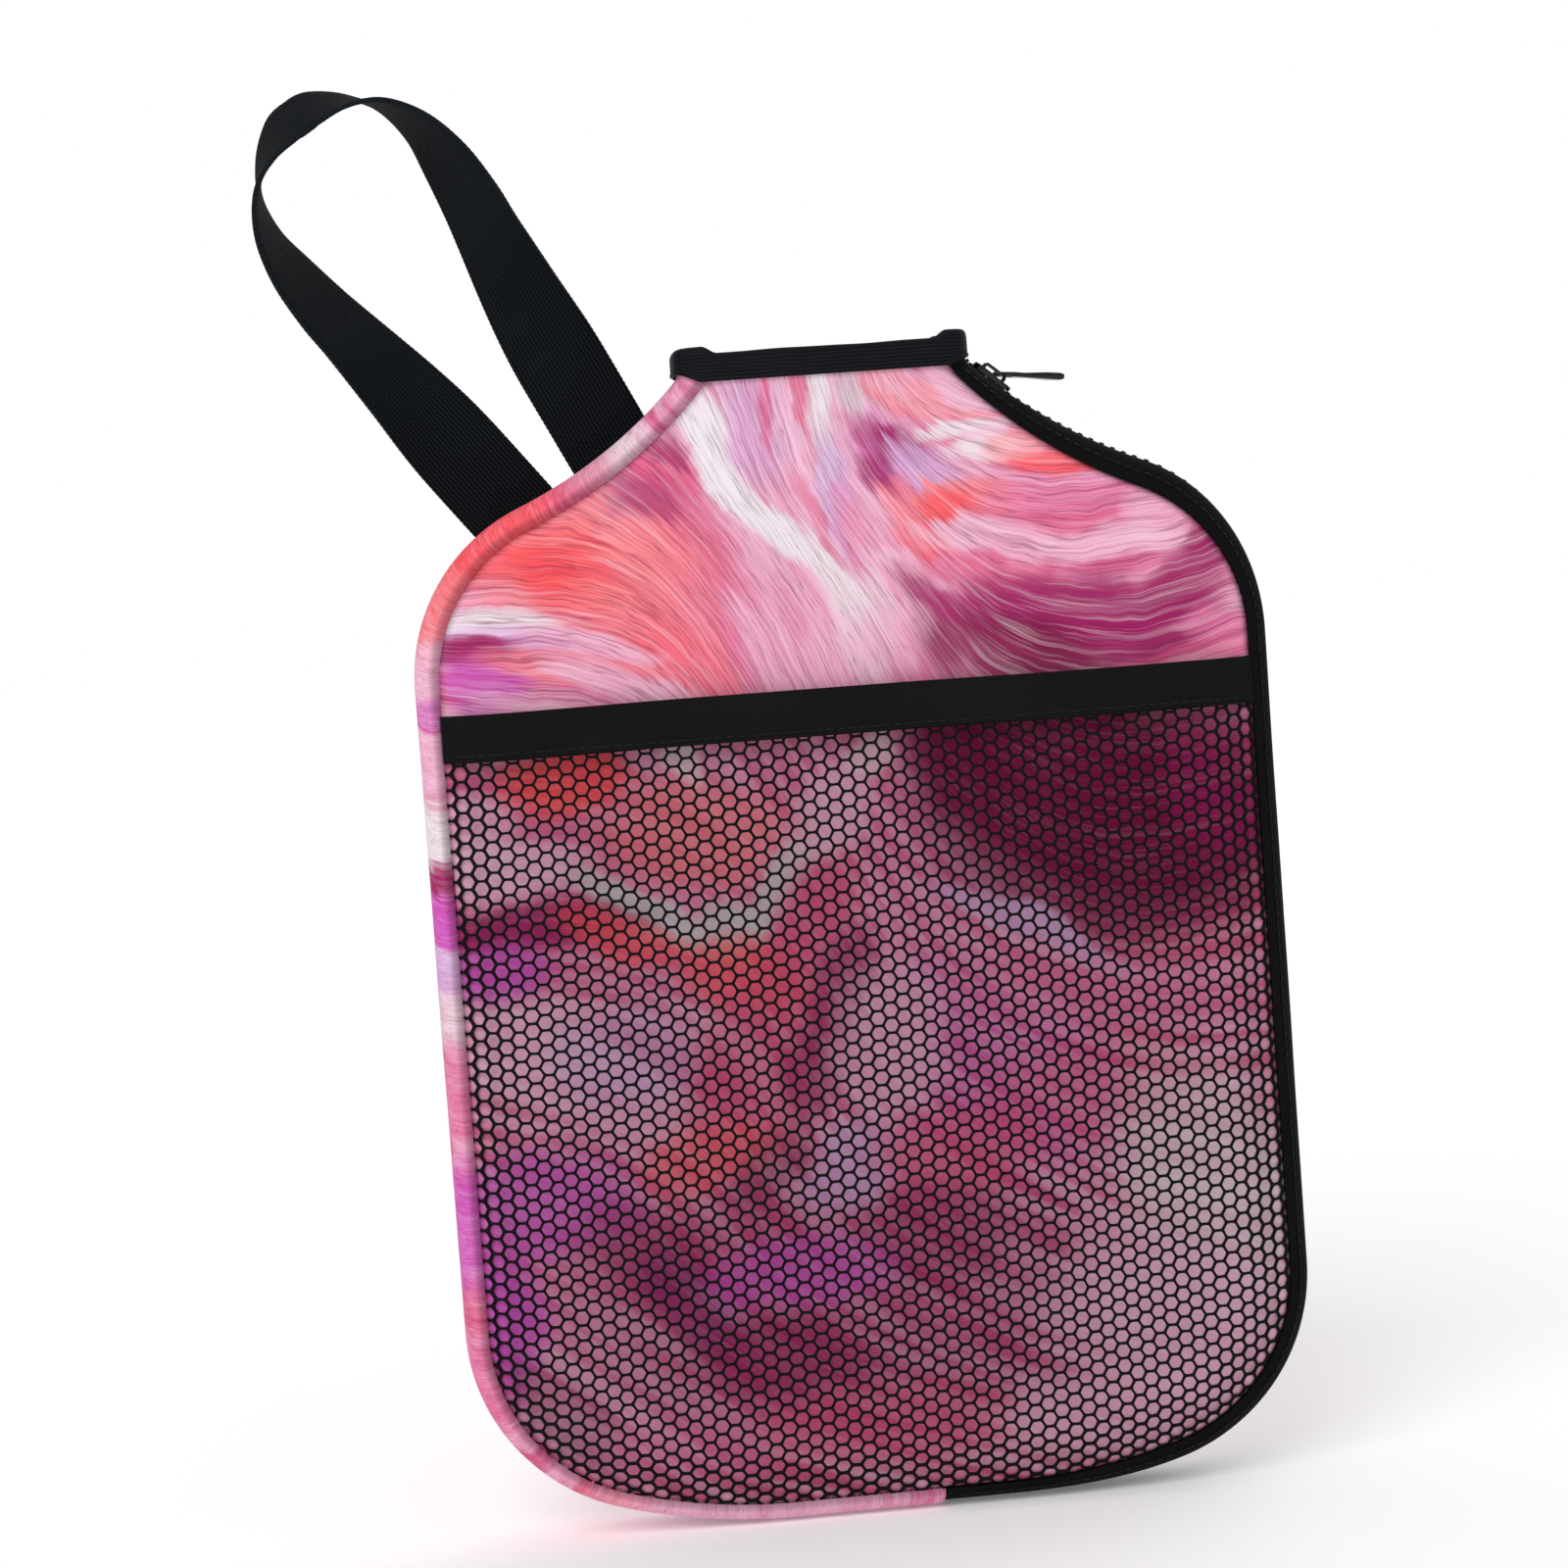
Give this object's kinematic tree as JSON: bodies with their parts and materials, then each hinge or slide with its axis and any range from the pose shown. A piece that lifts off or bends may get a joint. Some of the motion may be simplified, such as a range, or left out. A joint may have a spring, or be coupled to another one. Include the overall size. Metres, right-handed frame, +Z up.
{
  "type": "paddle case",
  "caption": "Slim zipped foam sleeve with a necked top, a mesh front pocket and a webbing carrying loop, for one court paddle.",
  "frame": {"origin": "on the resting face of the bottom, under the middle of the case", "axes": "+X to the zipper side, +Y towards the back, +Z up through the neck"},
  "size_m": [0.2661, 0.049, 0.3977],
  "materials": {
    "printed_neoprene": "knit-faced neoprene with a streaked pink, coral and white print",
    "black_binding": "woven binding tape, matt",
    "black_net": "knitted net with six-sided holes",
    "black_elastic": "woven elastic, matt",
    "zipper_tape": "woven zipper tape, matt",
    "black_webbing": "ribbed webbing, slight sheen",
    "black_resin": "moulded, satin",
    "black_lacquer": "gloss black lacquer on die-cast zinc"
  },
  "bodies": {
    "case": {"front_panel": "printed_neoprene", "back_panel": "printed_neoprene", "side_gusset": "printed_neoprene", "neck_binding": "black_binding", "pocket_mesh": "black_net", "pocket_elastic_band": "black_elastic", "seam_binding_front": "black_binding", "seam_binding_back": "black_binding", "zipper_tape_front": "zipper_tape", "zipper_tape_back": "zipper_tape", "zipper_teeth_front": "black_resin", "zipper_teeth_back": "black_resin", "top_stop_front": "black_resin", "top_stop_back": "black_resin", "bottom_stop": "black_resin"},
    "slider": {"zipper_slider": "black_lacquer"},
    "pull": {"zipper_pull": "black_lacquer"},
    "strap": {"strap_webbing": "black_webbing"}
  },
  "joints": [
    {"name": "slider_travel", "type": "hinge", "parent": "case", "child": "slider", "pos_m": [0.14114, 0, 0.41878], "axis": [0, -1, 0], "range_deg": [0, 15.5], "deforming": ["zipper_teeth_front", "zipper_teeth_back"]},
    {"name": "pull_swing", "type": "hinge", "parent": "slider", "child": "pull", "pos_m": [0.04709, 0, 0.30619], "axis": [0, -1, 0], "range_deg": [-27, 115]},
    {"name": "strap_swing", "type": "hinge", "parent": "case", "child": "strap", "pos_m": [-0.06875, 0.0152, 0.28179], "axis": [-0.8472, 0, -0.5313], "range_deg": [-20, 150]}
  ]
}
